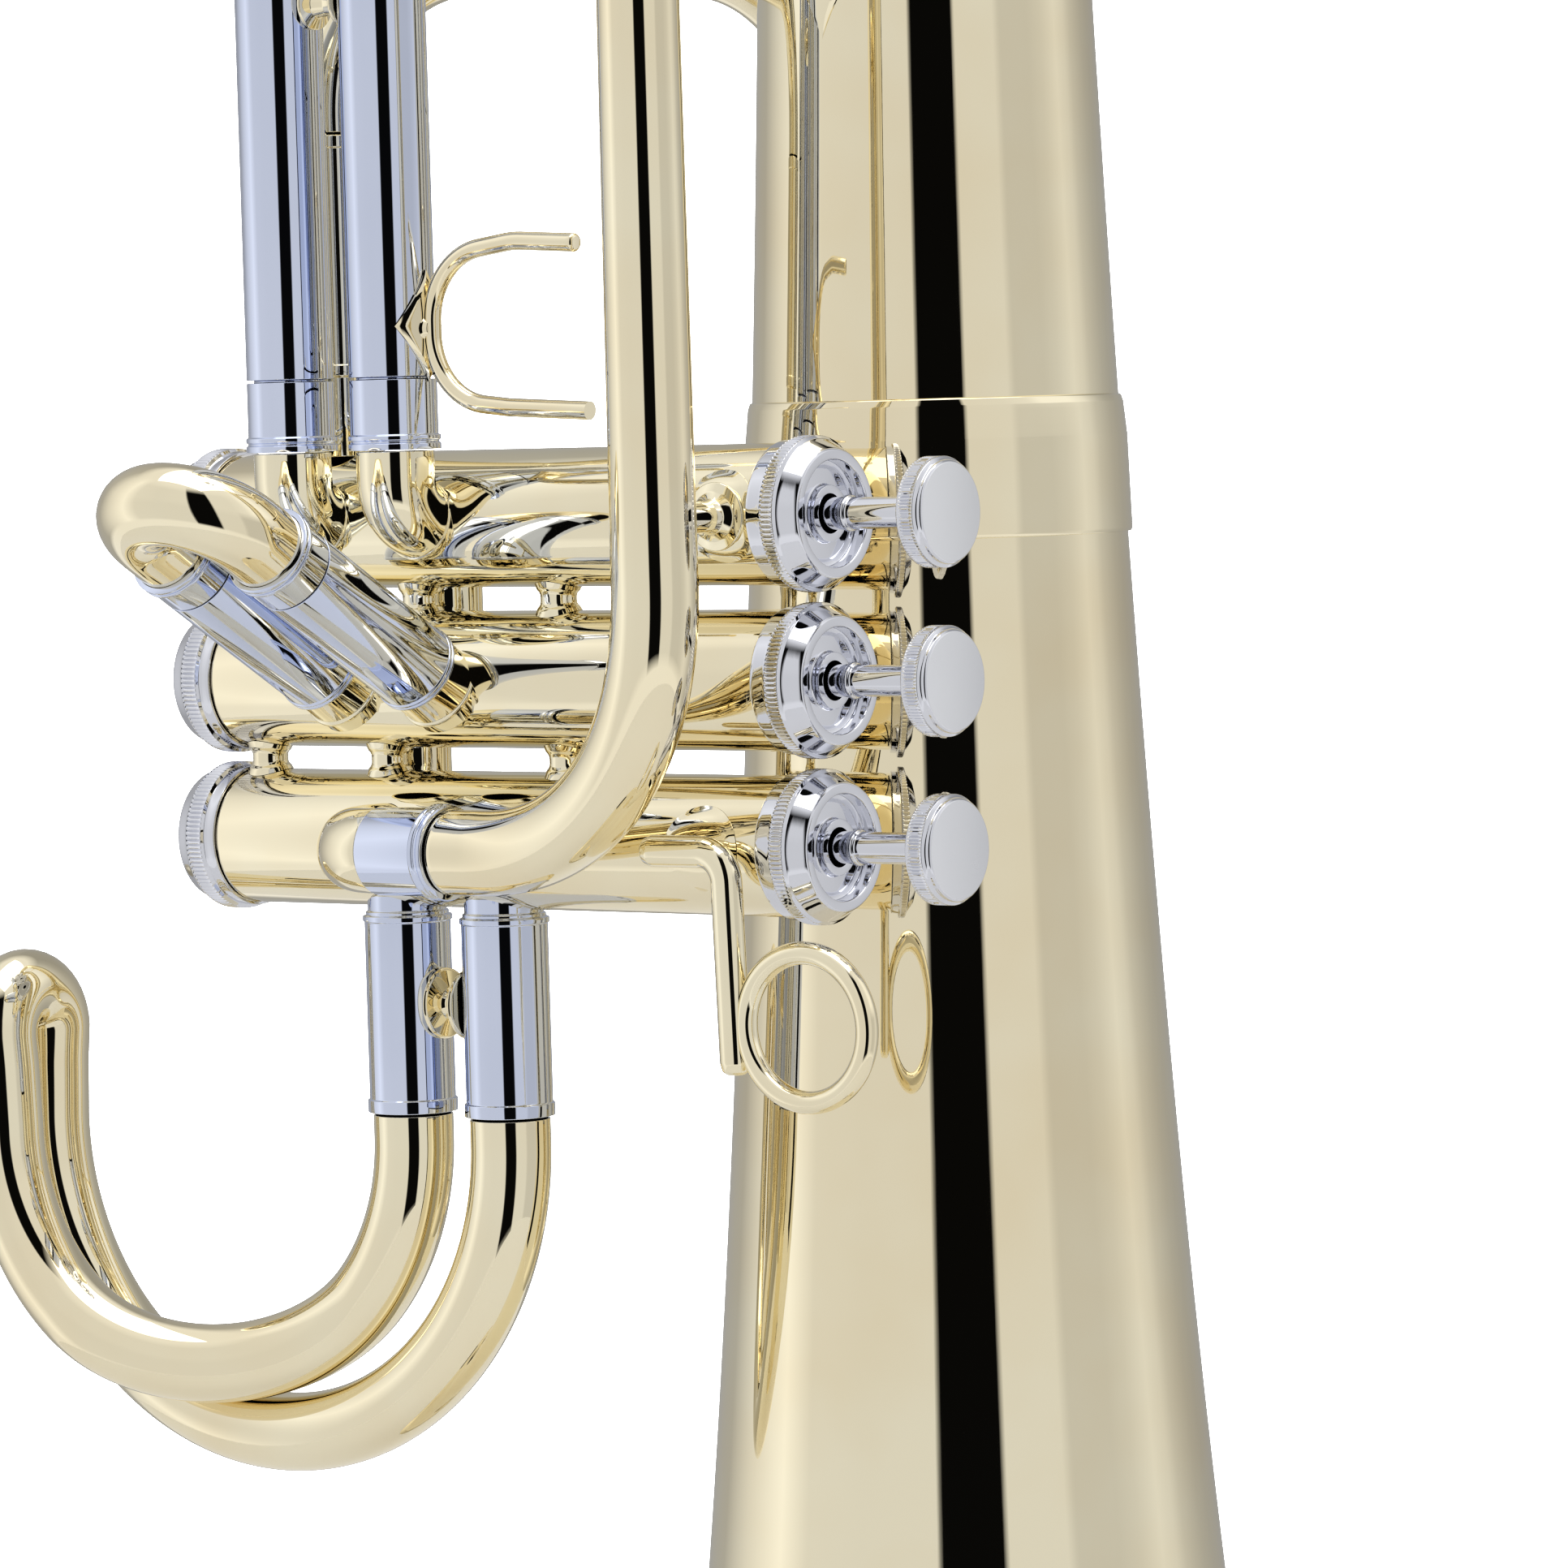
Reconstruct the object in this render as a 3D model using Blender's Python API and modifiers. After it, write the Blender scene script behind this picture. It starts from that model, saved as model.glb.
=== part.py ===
"""Three-valve forward-bell brass instrument, standing on its bell rim."""
import math

import bmesh
import bpy
from mathutils import Vector

for old in list(bpy.data.objects):
    bpy.data.objects.remove(old, do_unlink=True)

MM = 0.001
SHIFT = (51.916, -57.525, 420.0)  # valve-group frame to standing frame, mm

VALVE_Z = {1: 30.5, 2: 0.0, 3: -30.5}
CASING_R, CASING_BORE = 13.06, 11.76
CASING_TOP, CASING_FOOT = -10.8, -141.7
PISTON_R, PISTON_TOP, PISTON_FOOT = 11.2, -30.0, -120.0
BELL_X, BELL_Y = -26.5, 68.7
RIM_Z, RIM_R, TAIL_Z = -420.0, 130.0, 240.0
TUBE_R, LEG_R, SLEEVE_R, WALL = 7.7, 6.9, 8.3, 0.55
GAP = 0.35

PARTS = bpy.data.collections.new("instrument")
CUTTERS = bpy.data.collections.new("cutters")
for group in (PARTS, CUTTERS):
    bpy.context.scene.collection.children.link(group)


def metal(name, colour, rough):
    """One Principled metal."""
    made = bpy.data.materials.new(name)
    made.use_nodes = True
    shader = made.node_tree.nodes["Principled BSDF"]
    shader.inputs["Base Color"].default_value = (*colour, 1.0)
    shader.inputs["Metallic"].default_value = 1.0
    shader.inputs["Roughness"].default_value = rough
    return made


BRASS = metal("lacquered_brass", (0.86, 0.66, 0.34), 0.12)
NICKEL = metal("nickel_silver", (0.72, 0.73, 0.74), 0.15)
PLATE = metal("silver_plate", (0.85, 0.85, 0.84), 0.1)


def at(x, y, z):
    """A point of the valve-group frame in mm, as a standing-frame vector in metres."""
    return Vector((x + SHIFT[0], y + SHIFT[1], z + SHIFT[2])) * MM


def settle(obj, material, cutter=False):
    """Puts an object in its collection with its material and smooth shading."""
    (CUTTERS if cutter else PARTS).objects.link(obj)
    obj.data.materials.clear()
    obj.data.materials.append(material)
    obj.data.shade_smooth()
    obj.data.set_sharp_from_angle(angle=math.radians(35))
    if cutter:
        obj.hide_render = True
        obj.display_type = "WIRE"
    return obj


def lathe(name, profile, origin, axis, material, sides=16, cutter=False):
    """Turns a closed (radius, height) outline, in mm, about an axis through origin."""
    mesh = bpy.data.meshes.new(name)
    points = [(r * MM, 0.0, h * MM) for r, h in profile]
    count = len(points)
    open_ends = profile[0][0] == 0.0 and profile[-1][0] == 0.0
    edges = [(i, i + 1) for i in range(count - 1)]
    if not open_ends:
        edges.append((count - 1, 0))
    mesh.from_pydata(points, edges, [])
    obj = bpy.data.objects.new(name, mesh)
    screw = obj.modifiers.new("turn", "SCREW")
    screw.axis = "Z"
    screw.steps = sides
    screw.render_steps = sides
    screw.use_merge_vertices = True
    screw.merge_threshold = 0.00001
    screw.use_normal_calculate = True
    obj.location = at(*origin)
    obj.rotation_euler = Vector(axis).to_track_quat("Z", "Y").to_euler()
    return baked(settle(obj, material, cutter))


def baked(obj):
    """The object's modifiers made into its mesh, with every face outward."""
    bpy.context.view_layer.update()
    graph = bpy.context.evaluated_depsgraph_get()
    mesh = bpy.data.meshes.new_from_object(obj.evaluated_get(graph))
    shape = bmesh.new()
    shape.from_mesh(mesh)
    bmesh.ops.remove_doubles(shape, verts=shape.verts, dist=0.000002)
    bmesh.ops.recalc_face_normals(shape, faces=shape.faces)
    shape.to_mesh(mesh)
    shape.free()
    obj.modifiers.clear()
    obj.data = mesh
    mesh.shade_smooth()
    mesh.set_sharp_from_angle(angle=math.radians(35))
    return obj


def arc(centre, start, to, radius, turn=90.0, steps=5, skip_first=False):
    """Points of a bend: from unit direction start towards unit direction to."""
    centre, start, to = Vector(centre), Vector(start).normalized(), Vector(to).normalized()
    angles = [math.radians(turn) * i / steps for i in range(1 if skip_first else 0, steps + 1)]
    return [tuple(centre + (start * math.cos(a) + to * math.sin(a)) * radius) for a in angles]


def pipe(name, path, radii, material, wall=WALL, sides=10, cutter=False, origin=None):
    """A bevelled curve through path, in mm; hollow when wall is above zero."""
    curve = bpy.data.curves.new(name, "CURVE")
    curve.dimensions = "3D"
    curve.bevel_depth = MM
    curve.bevel_resolution = (sides - 4) // 2
    curve.use_fill_caps = wall == 0
    line = curve.splines.new("POLY")
    line.points.add(len(path) - 1)
    radii = radii if isinstance(radii, (list, tuple)) else [radii] * len(path)
    start = at(*(origin or path[0]))
    for knot, place, radius in zip(line.points, path, radii):
        knot.co = (*(at(*place) - start), 1.0)
        knot.radius = radius
    holder = bpy.data.objects.new(name + "_line", curve)
    CUTTERS.objects.link(holder)
    bpy.context.view_layer.update()
    graph = bpy.context.evaluated_depsgraph_get()
    mesh = bpy.data.meshes.new_from_object(holder.evaluated_get(graph))
    bpy.data.objects.remove(holder, do_unlink=True)
    shape = bmesh.new()
    shape.from_mesh(mesh)
    bmesh.ops.remove_doubles(shape, verts=shape.verts, dist=0.000002)
    bmesh.ops.recalc_face_normals(shape, faces=shape.faces)
    shape.to_mesh(mesh)
    shape.free()
    obj = bpy.data.objects.new(name, mesh)
    obj.location = start
    if wall:
        shell = obj.modifiers.new("wall", "SOLIDIFY")
        shell.thickness = wall * MM
        shell.offset = -1.0
        shell.use_even_offset = True
    return baked(settle(obj, material, cutter))


def combine(obj, other, how):
    """One exact Boolean, applied."""
    step = obj.modifiers.new(how.lower(), "BOOLEAN")
    step.operation = how
    step.solver = "EXACT"
    step.object = other
    return baked(obj)


def cut(obj, *others):
    for other in others:
        combine(obj, other, "DIFFERENCE")
    return obj


def drop(*objects):
    for obj in objects:
        bpy.data.objects.remove(obj, do_unlink=True)


X_AXIS, Y_AXIS, Z_AXIS = (1, 0, 0), (0, 1, 0), (0, 0, 1)

# ---- valve section: casings, caps, pistons, stems and finger buttons ----
CASING_CUT = {}
for n, z in VALVE_Z.items():
    home = (0, 0, z)
    lathe(f"valve_casing_{n}", [(CASING_R, CASING_FOOT), (CASING_R, CASING_TOP),
                                (CASING_BORE, CASING_TOP), (CASING_BORE, CASING_FOOT)],
          home, X_AXIS, BRASS, 20)
    CASING_CUT[n] = lathe(f"cut_casing_{n}", [(0, 5), (CASING_R + GAP, 5),
                                              (CASING_R + GAP, -160), (0, -160)],
                          home, X_AXIS, BRASS, 20, True)
    lathe(f"top_cap_{n}", [(13.6, -10.5), (13.6, -6.7), (14.35, -6.5), (14.35, -4.0),
                           (13.6, -3.4), (11.6, 0), (9.8, 0), (9.8, -3.2), (5.2, -3.2),
                           (5.2, -1.4), (3.65, -1.4), (3.65, -6.4), (11.9, -6.4),
                           (11.9, -10.5)], home, X_AXIS, NICKEL, 16)
    lathe(f"bottom_cap_{n}", [(13.6, -142), (13.6, -144.6), (14.35, -144.8), (14.35, -148.6),
                              (12.6, -152), (3, -152), (3, -150.4), (11.9, -150.4),
                              (11.9, -142)], home, X_AXIS, NICKEL, 16)
    lathe(f"piston_{n}", [(0, PISTON_TOP), (PISTON_R, PISTON_TOP), (PISTON_R, PISTON_FOOT),
                          (PISTON_R - 0.8, PISTON_FOOT), (PISTON_R - 0.8, PISTON_TOP - 2),
                          (0, PISTON_TOP - 2)], home, X_AXIS, NICKEL, 20)
    lathe(f"valve_stem_{n}", [(0, PISTON_TOP + 0.3), (6, PISTON_TOP + 0.3), (6, -27), (3, -26),
                              (3, 19.7), (0, 19.7)], home, X_AXIS, NICKEL, 12)
    lathe(f"finger_button_{n}", [(0, 20), (9.2, 20), (10.1, 20.8), (10.1, 24.7), (9.08, 25.8),
                                 (0, 25.8)], home, X_AXIS, NICKEL, 16)

# windway links and spacer spools between the casings
for name, a, b, x in (("windway_link_12", 1, 2, -101.0), ("windway_link_23", 2, 3, -110.0)):
    middle = (VALVE_Z[a] + VALVE_Z[b]) / 2
    link = lathe(name, [(6.6, -7.6), (6.6, 7.6), (6.0, 7.6), (6.0, -7.6)], (x, 10.5, middle),
                 Z_AXIS, BRASS, 12)
    cut(link, CASING_CUT[a], CASING_CUT[b])
SPOOL = [(0, -8), (4.3, -8), (4.3, -1.7), (3.5, -1.0), (3.5, 1.0), (4.3, 1.7), (4.3, 8), (0, 8)]
for name, a, b, x in (("spacer_12_a", 1, 2, -98.4), ("spacer_12_b", 1, 2, -64.6),
                      ("spacer_23_a", 2, 3, -137.6), ("spacer_23_b", 2, 3, -107.4),
                      ("spacer_23_c", 2, 3, -63.6)):
    middle = (VALVE_Z[a] + VALVE_Z[b]) / 2
    spool = lathe(name, SPOOL, (x, -1, middle), Z_AXIS, BRASS, 12)
    cut(spool, CASING_CUT[a], CASING_CUT[b])

# ---- first valve slide: fixed elbows and inner tubes, moving sleeves and crook ----
FIRST = {"a": -88.0, "b": -113.4}
FIRST_Y, FIRST_TOP = -19.5, 172.3
for side, x in FIRST.items():
    bend = arc((x, -11.3, 38.7), (0, 0, -1), (0, -1, 0), 8.2)
    elbow = pipe(f"first_elbow_{side}", [(x, -5, 30.5)] + bend + [(x, FIRST_Y, 43.6)], 7.4, BRASS)
    cut(elbow, CASING_CUT[1])
    lathe(f"first_inner_{side}", [(LEG_R, 57.3), (8.3, 57.0), (8.3, 47), (8.7, 46.4), (8.7, 44),
                                  (6.35, 44), (6.35, 118), (LEG_R, 118)],
          (x, FIRST_Y, 0), Z_AXIS, NICKEL, 12)
    lathe(f"first_sleeve_{side}", [(SLEEVE_R, 57.7), (SLEEVE_R, 150), (SLEEVE_R - WALL, 150),
                                   (SLEEVE_R - WALL, 57.7)], (x, FIRST_Y, 0), Z_AXIS, NICKEL, 12)
half = (FIRST["a"] - FIRST["b"]) / 2
centre_x = (FIRST["a"] + FIRST["b"]) / 2
pipe("first_crook", [(FIRST["a"], FIRST_Y, 150.3)]
     + arc((centre_x, FIRST_Y, FIRST_TOP), (1, 0, 0), (0, 0, 1), half, 180, 7)
     + [(FIRST["b"], FIRST_Y, 150.3)], TUBE_R, BRASS)
LEG_CUT = {s: lathe(f"cut_first_{s}", [(0, 0), (SLEEVE_R + GAP, 0), (SLEEVE_R + GAP, 200),
                                       (0, 200)], (x, FIRST_Y, 0), Z_AXIS, BRASS, 12, True)
           for s, x in FIRST.items()}
brace = lathe("first_brace", [(0, -14), (5, -14), (5, -3.4), (2.6, -2.6), (2.6, 2.6), (5, 3.4),
                              (5, 14), (0, 14)], (centre_x, FIRST_Y, 128), X_AXIS, BRASS, 12)
cut(brace, LEG_CUT["a"], LEG_CUT["b"])

# thumb saddle on the moving sleeve: curved diamond plate, post and U bar
outline = bpy.data.curves.new("diamond", "CURVE")
outline.dimensions = "2D"
outline.fill_mode = "BOTH"
outline.extrude = 12 * MM
edge = outline.splines.new("POLY")
edge.points.add(7)
for knot, (u, v) in zip(edge.points, ((0, 10), (2.2, 5.5), (6.5, 0), (2.2, -5.5), (0, -10),
                                      (-2.2, -5.5), (-6.5, 0), (-2.2, 5.5))):
    knot.co = (u * MM, v * MM, 0, 1)
edge.use_cyclic_u = True
flat = bpy.data.objects.new("diamond_line", outline)
CUTTERS.objects.link(flat)
bpy.context.view_layer.update()
diamond_mesh = bpy.data.meshes.new_from_object(
    flat.evaluated_get(bpy.context.evaluated_depsgraph_get()))
drop(flat)


def saddle(name, place, facing, hub, axis, radius, material, thick=1.0, scale=1.0, sides=12):
    """A diamond plate bent round a tube: a prism kept only inside a thin shell."""
    plate = bpy.data.objects.new(name, diamond_mesh.copy())
    for vertex in plate.data.vertices:
        vertex.co.x *= scale
        vertex.co.y *= scale
    plate.location = at(*place)
    plate.rotation_euler = Vector(facing).to_track_quat("Z", "Y").to_euler()
    baked(settle(plate, material))
    shell = lathe(name + "_shell", [(radius + GAP, -40), (radius + GAP + thick, -40),
                                    (radius + GAP + thick, 40), (radius + GAP, 40)],
                  hub, axis, material, sides, True)
    combine(plate, shell, "INTERSECT")
    drop(shell)
    return plate


hook = saddle("thumb_saddle", (FIRST["a"] + 8.3, FIRST_Y, 67), (1, 0, 0),
              (FIRST["a"], FIRST_Y, 67), Z_AXIS, SLEEVE_R, BRASS, 1.2)
post = pipe("hook_post", [(FIRST["a"] + SLEEVE_R + 0.6, FIRST_Y, 66), (-77.2, FIRST_Y, 66)],
            2.4, BRASS, 0, 8, True)
bar = pipe("hook_bar", [(-43, FIRST_Y, 81)]
           + arc((-61.8, FIRST_Y, 65.8), (0, 0, 1), (-1, 0, 0), 15.2, 180, 10)
           + [(-41, FIRST_Y, 50.6)], 1.9, BRASS, 0, 8, True)
combine(hook, post, "UNION")
combine(hook, bar, "UNION")
drop(post, bar)

# ---- second valve slide ----
SECOND = {"a": -84.6, "b": -108.1}
OUT = Vector((0, -0.866, 0.5))


def along(x, t):
    """A point t mm out along the slide's leaning axis, set a little below the valve axis."""
    return (x, OUT.y * t, OUT.z * t - 8.3)


for side, x in SECOND.items():
    sleeve = lathe(f"second_sleeve_{side}", [(7.9, 6), (7.9, 21.8), (8.6, 22.0), (8.6, 23.4),
                                             (SLEEVE_R, 23.6), (SLEEVE_R, 61.8),
                                             (SLEEVE_R - WALL, 61.8), (SLEEVE_R - WALL, 23),
                                             (7.2, 22.4), (7.2, 6)], along(x, 0), OUT, NICKEL, 12)
    cut(sleeve, CASING_CUT[2])
mid = (SECOND["a"] + SECOND["b"]) / 2
half = (SECOND["a"] - SECOND["b"]) / 2
pipe("second_crook", [along(SECOND["a"], 26), along(SECOND["a"], 62.1),
                      along(SECOND["a"], 62.5)]
     + arc(along(mid, 76), (1, 0, 0), OUT, half, 180, 6)
     + [along(SECOND["b"], 62.5), along(SECOND["b"], 62.1), along(SECOND["b"], 26)],
     [LEG_R, LEG_R] + [TUBE_R] * 9 + [LEG_R, LEG_R], BRASS, origin=along(mid, 76))

# ---- third valve slide ----
THIRD = {"a": -81.0, "b": -105.0}
for side, x in THIRD.items():
    sleeve = lathe(f"third_sleeve_{side}", [(7.6, -38), (7.6, -44.4), (8.9, -44.6), (8.9, -46.6),
                                            (SLEEVE_R, -46.8), (SLEEVE_R, -80.6), (8.9, -80.8),
                                            (8.9, -83), (SLEEVE_R - WALL, -83),
                                            (SLEEVE_R - WALL, -46), (7.0, -45.4), (7.0, -38)],
                   (x, 0, 0), Z_AXIS, NICKEL, 12)
    cut(sleeve, CASING_CUT[3])
THIRD_CUT = {s: lathe(f"cut_third_{s}", [(0, -20), (SLEEVE_R + GAP, -20), (SLEEVE_R + GAP, -100),
                                         (0, -100)], (x, 0, 0), Z_AXIS, BRASS, 12, True)
             for s, x in THIRD.items()}
brace = lathe("third_brace", [(0, -12), (6.5, -12), (6.5, -2.7), (2.6, -2.2), (2.6, 2.2),
                              (6.5, 2.7), (6.5, 12), (0, 12)],
              ((THIRD["a"] + THIRD["b"]) / 2, 0, -62), X_AXIS, BRASS, 12)
cut(brace, THIRD_CUT["a"], THIRD_CUT["b"])


def ease(t):
    t = min(max(t, 0.0), 1.0)
    return t * t * (3 - 2 * t)


inner_arc, outer_arc = [], []
for i in range(10):
    a = math.pi * i / 9
    inner_arc.append((-150.5 + 45.5 * math.cos(a), -17.4 * ease((a - 0.75) / 1.5),
                      -88 - 45.5 * math.sin(a)))
    outer_arc.append((-140.5 + 59.5 * math.cos(a), 0.0, -88 - 59.5 * math.sin(a)))
join = arc((-198, -8.7, -70), (0, -1, 0), (0, 0, 1), 8.7, 180, 5)
pipe("third_crook", [(-105, 0, -56), (-105, 0, -83.1), (-105, 0, -83.5)] + inner_arc
     + [(-197, -17.4, -76)] + join + [(-199, 0, -76)] + outer_arc[::-1]
     + [(-81, 0, -83.5), (-81, 0, -83.1), (-81, 0, -56)],
     [LEG_R, LEG_R] + [TUBE_R] * 30 + [LEG_R, LEG_R], BRASS, 0.55, 8)

# ---- leadpipe, receiver and mouthpiece ----
LEAD_X, LEAD_Y = -15.0, -35.0
lead = [(LEAD_X, LEAD_Y, 260), (LEAD_X, LEAD_Y, 140), (LEAD_X, LEAD_Y, 70)]
for i in range(8):
    a = math.pi / 2 * i / 7
    lead.append((-65 + 50 * math.cos(a), -35 + 10 * ease(a / 1.57), 19 - 50 * math.sin(a)))
lead.append((-72.6, -25, -31))
pipe("leadpipe", lead, [6.9, 7.4, 7.7] + [7.9] * 9, BRASS)
lathe("leadpipe_ferrule", [(8.3, -89.6), (8.7, -76.5), (9.4, -76), (9.4, -73), (7.4, -73),
                           (7.4, -89.6)], (0, -25, -31), X_AXIS, NICKEL, 12)
inlet = pipe("inlet_elbow", [(-89.9, -25, -31)]
             + arc((-91.2, -15.8, -31), (0, -1, 0), (-1, 0, 0), 9.2)
             + [(-100.4, -6, -31)], 8.0, BRASS)
cut(inlet, CASING_CUT[3])
lathe("mouthpiece_receiver", [(7.0, 260.4), (9.4, 260.6), (9.4, 264), (8.6, 265), (9.2, 294),
                              (10.2, 295), (10.2, 300), (6.6, 300), (6.2, 274), (6.2, 260.4)],
      (LEAD_X, LEAD_Y, 0), Z_AXIS, NICKEL, 16)
lathe("mouthpiece", [(5.3, 277), (6.1, 303), (6.4, 309), (8.0, 316), (12.5, 326), (15.5, 338),
                     (16.4, 346), (19.0, 348), (19.3, 351.5), (17.2, 353.5), (12.8, 352),
                     (12.2, 344), (10.5, 335), (3.4, 322), (3.2, 316), (4.6, 277)],
      (LEAD_X, LEAD_Y, 0), Z_AXIS, PLATE, 16)
lead_cut = pipe("cut_leadpipe", [(LEAD_X, LEAD_Y, 200), (LEAD_X, LEAD_Y, 0)], 7.9 + GAP, BRASS,
                0, 10, True)
brace = lathe("leadpipe_brace", [(0, -3), (6.3, -3), (6.3, 4.3), (2.9, 5.2), (2.9, 15.0),
                                 (4.6, 16.2), (4.6, 18), (0, 18)],
              (-17.2, -10, 30.5), (0, -1, 0), BRASS, 12)
cut(brace, CASING_CUT[1], lead_cut)

# ---- finger ring on the third casing ----
rod = pipe("finger_ring", [(-32.5, -18.2, -30.5), (-18, -18.2, -30.5), (-14.9, -18, -32),
                           (-13.6, -17.6, -35), (-13.6, -17.0, -52), (-13.6, -16.6, -70.5)],
           2.95, BRASS, 0, 10)
bpy.ops.mesh.primitive_torus_add(major_radius=13.6 * MM, minor_radius=2.1 * MM,
                                 major_segments=18, minor_segments=6,
                                 location=at(2.6, -16.8, -62), rotation=(math.pi / 2, 0, 0))
hoop = bpy.context.object
combine(rod, hoop, "UNION")
drop(hoop)
foot = lathe("ring_foot", [(0, 6), (6.5, 6), (6.5, 14.0), (4.4, 15.4), (0, 15.4)],
             (-23, 0, -30.5), (0, -1, 0), BRASS, 12, True)
cut(foot, CASING_CUT[3])
combine(rod, foot, "UNION")
drop(foot)

# ---- outlet, main tuning slide and main branches ----
LEG_1, LEG_2 = Vector((-117, 0, 0)), Vector((-75, 103.5, 0))
run = (LEG_2 - LEG_1).normalized()
outlet = lathe("outlet_sleeve", [(7.7, 36), (7.7, 58), (8.9, 58.2), (8.9, 60.2), (8.6, 60.4),
                                 (8.6, 104), (8.0, 104), (8.0, 60), (7.1, 59), (7.1, 36)],
               tuple(LEG_1), Z_AXIS, BRASS, 12)
cut(outlet, CASING_CUT[1])
bow_1, bow_2 = LEG_1 + run * 32, LEG_2 - run * 32
path = [(LEG_1.x, 0, 70), (LEG_1.x, 0, 104.2), (LEG_1.x, 0, 104.6)]
path += arc(tuple(bow_1 + Vector((0, 0, 107))), -run, (0, 0, 1), 32)
path += arc(tuple(bow_2 + Vector((0, 0, 107))), (0, 0, 1), run, 32)
path += [(LEG_2.x, LEG_2.y, 104.6), (LEG_2.x, LEG_2.y, 104.2), (LEG_2.x, LEG_2.y, 70)]
crown = (bow_1 + bow_2) / 2
slide = pipe("tuning_slide", path, [7.3, 7.3] + [8.0] * 14 + [7.3, 7.3], BRASS, 0.6)
block = lathe("key_block", [(0, 146.3), (2.2, 146.3), (2.2, 151.0), (0, 151.0)], tuple(crown),
              Z_AXIS, BRASS, 10, True)
combine(slide, block, "UNION")
drop(block)
lathe("descending_branch", [(8.9, 104), (8.9, 60.4), (9.4, 60.2), (9.4, 58), (8.4, 56),
                            (11, -120), (10.4, -120), (7.8, 56), (8.0, 60), (8.0, 104)],
      tuple(LEG_2), Z_AXIS, BRASS, 12)
ASC = Vector((-98.7, 164.3, 0))
low = (ASC - LEG_2).normalized()
bow = arc(tuple((ASC + LEG_2) / 2 + Vector((0, 0, -124.4))), -low, (0, 0, -1),
          (ASC - LEG_2).length / 2, 180, 8)
bow = [(LEG_2.x, LEG_2.y, -120.4)] + bow + [(ASC.x, ASC.y, -120.4)]
pipe("bottom_bow", bow, [11 + 0.1 * i for i in range(11)], BRASS, 0.6, 10)
lathe("ascending_branch", [(12, -120), (22, 239.6), (21.4, 239.6), (11.4, -120)],
      tuple(ASC), Z_AXIS, BRASS, 16)
BELL = Vector((BELL_X, BELL_Y, 0))
back = (BELL - ASC).normalized()
bow = arc(tuple((ASC + BELL) / 2 + Vector((0, 0, 244))), back, (0, 0, 1),
          (ASC - BELL).length / 2, 180, 9)
bow = [(ASC.x, ASC.y, 240)] + bow[::-1] + [(BELL.x, BELL.y, 240)]
pipe("back_bow", bow, [22 + 0.56 * i for i in range(12)], BRASS, 0.6, 14)

# ---- bell: flared shell with a rolled rim, and the band round its joint ----


def flare(z):
    """Outer radius of the bell at height z, both in mm."""
    return -35.99 + 523.85 * (z - RIM_Z + 36.12) ** -0.3204


stops = [TAIL_Z - 0.4, 70, -60, -170, -250, -310, -350, -380, -400, -414]
outer = [(flare(z), z) for z in stops]
inner = [(flare(z) - 0.7, z) for z in stops]
roll = [(RIM_R - 1.6, -416.2), (RIM_R, -417.2), (RIM_R, -419.2), (RIM_R - 1, RIM_Z),
        (RIM_R - 3.4, RIM_Z), (RIM_R - 4.4, -418.6)]
lathe("bell", outer + roll + inner[::-1], (BELL_X, BELL_Y, 0), Z_AXIS, BRASS, 28)
lathe("bell_band", [(37.3, 24.4), (36.75, 43), (36.4, 46), (36.0, 49.3), (flare(50.9) + GAP, 50.9),
                    (flare(50.9) + GAP, 50.0), (flare(24.4) + GAP, 24.4)],
      (BELL_X, BELL_Y, 0), Z_AXIS, BRASS, 28)


def stay(name, start, end, radius, material=BRASS):
    return pipe(name, [start, end], radius, material, 0, 8)


# stays between the branches
start, end = BELL + back * -(flare(-60) + 0.5), ASC + back * 14.4
stay("lower_stay", (start.x, start.y, -60), (end.x, end.y, -60), 2.6)
stay("casing_stay", (-40, CASING_R + 0.4, 0), (-40, 32.0, 0), 2.6)
lead_end = (LEAD_X, LEAD_Y + 7.7 + 0.2, 141)
leaf = saddle("bell_brace", (BELL_X, BELL_Y - 33, 137), (0, -1, 0), (BELL_X, BELL_Y, 137), Z_AXIS,
              flare(97), BRASS, 1.2, 1.9, 28)
rod = pipe("brace_rod", [lead_end, (-25.6, BELL_Y - flare(97) - 0.9, 141)], 3.0, BRASS, 0, 8, True)
combine(leaf, rod, "UNION")
drop(rod)

# ---- water key on the tuning slide crown ----
lever = [(-23, 157.8), (-6, 153.9), (0, 153.2), (6, 152.6), (9.5, 151.0)]
pipe("water_key", [tuple(crown + run * t + Vector((0, 0, z))) for t, z in lever],
     [2.0, 1.8, 1.8, 1.8, 3.2], NICKEL, 0, 8, origin=(crown.x, crown.y, 153.2))

for obj in CASING_CUT.values():
    drop(obj)
for group in (LEG_CUT, THIRD_CUT):
    for obj in group.values():
        drop(obj)
drop(lead_cut)
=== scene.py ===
"""Forward-bell three-valve brass horn, standing on its bell rim."""
import math

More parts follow.
